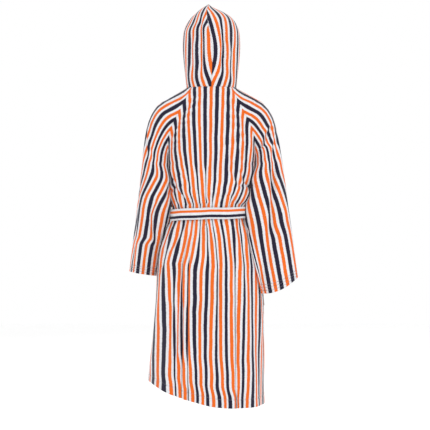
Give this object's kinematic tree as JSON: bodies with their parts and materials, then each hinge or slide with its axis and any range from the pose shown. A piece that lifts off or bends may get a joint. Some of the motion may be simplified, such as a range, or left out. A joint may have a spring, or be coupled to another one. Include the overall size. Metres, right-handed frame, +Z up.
{
  "type": "hooded bathrobe",
  "caption": "Hooded bathrobe in striped towelling, in its worn shape: raglan sleeves, hood up, wrap front, patch pockets and a tied belt.",
  "frame": {"origin": "middle of the neck opening, at the seam between hood and robe", "axes": "+Z up towards the hood's peak; -Y towards the wearer's front; +X towards the wearer's left"},
  "size_m": [0.58, 0.3372, 1.3495],
  "materials": {
    "striped_towelling": "terry towelling in stripes of orange, off-white and navy blue, 11 mm colours and 9 mm whites, matte with a soft pile",
    "belt_towelling": "the same towelling, its stripes running along the belt",
    "belt_loop_tape": "narrow off-white woven tape",
    "white_tape": "woven white cotton tape",
    "seam_binding": "overlocked seam edge in off-white thread",
    "blank_label": "blank satin label"
  },
  "bodies": {
    "robe": {"back_panel": "striped_towelling", "left_front_panel": "striped_towelling", "right_front_panel": "striped_towelling", "left_front_facing": "striped_towelling", "right_front_facing": "striped_towelling", "back_hem_fold": "striped_towelling", "left_front_hem_fold": "striped_towelling", "right_front_hem_fold": "striped_towelling", "left_side_seam": "seam_binding", "right_side_seam": "seam_binding", "left_sleeve_shoulder": "striped_towelling", "right_sleeve_shoulder": "striped_towelling", "left_hood_base": "striped_towelling", "right_hood_base": "striped_towelling", "hood_edge_fold_base": "striped_towelling", "hood_centre_seam_base": "seam_binding", "neck_tape": "white_tape", "blank_label": "blank_label", "belt_waistband": "belt_towelling", "belt_knot": "belt_towelling", "left_belt_loop": "belt_loop_tape", "right_belt_loop": "belt_loop_tape", "left_pocket": "striped_towelling", "left_pocket_hem": "striped_towelling", "right_pocket": "striped_towelling", "right_pocket_hem": "striped_towelling"},
    "hood": {"left_hood": "striped_towelling", "right_hood": "striped_towelling", "hood_edge_fold": "striped_towelling", "hood_centre_seam": "seam_binding"},
    "left_sleeve": {"left_sleeve_arm": "striped_towelling", "left_cuff_fold": "striped_towelling"},
    "right_sleeve": {"right_sleeve_arm": "striped_towelling", "right_cuff_fold": "striped_towelling"},
    "belt_end_left": {"belt_end_left": "belt_towelling"},
    "belt_end_right": {"belt_end_right": "belt_towelling"},
    "hanging_loop": {"hanging_loop": "white_tape"}
  },
  "joints": [
    {"name": "hood_tip_back", "type": "hinge", "parent": "robe", "child": "hood", "pos_m": [0, 0, 0.006], "axis": [-1, 0, 0], "range_deg": [0, 50]},
    {"name": "left_sleeve_raise", "type": "hinge", "parent": "robe", "child": "left_sleeve", "pos_m": [0.168, 0, -0.25], "axis": [0, -1, 0], "range_deg": [0, 45]},
    {"name": "right_sleeve_raise", "type": "hinge", "parent": "robe", "child": "right_sleeve", "pos_m": [-0.168, 0, -0.25], "axis": [0, 1, 0], "range_deg": [0, 45]},
    {"name": "belt_end_left_swing", "type": "hinge", "parent": "robe", "child": "belt_end_left", "pos_m": [0.033, -0.135, -0.45], "axis": [-1, 0, 0], "range_deg": [0, 70]},
    {"name": "belt_end_right_swing", "type": "hinge", "parent": "robe", "child": "belt_end_right", "pos_m": [-0.021, -0.135, -0.45], "axis": [-1, 0, 0], "range_deg": [0, 70]},
    {"name": "hanging_loop_flip", "type": "hinge", "parent": "robe", "child": "hanging_loop", "pos_m": [0, 0.0635, -0.008], "axis": [-1, 0, 0], "range_deg": [0, 155]}
  ]
}
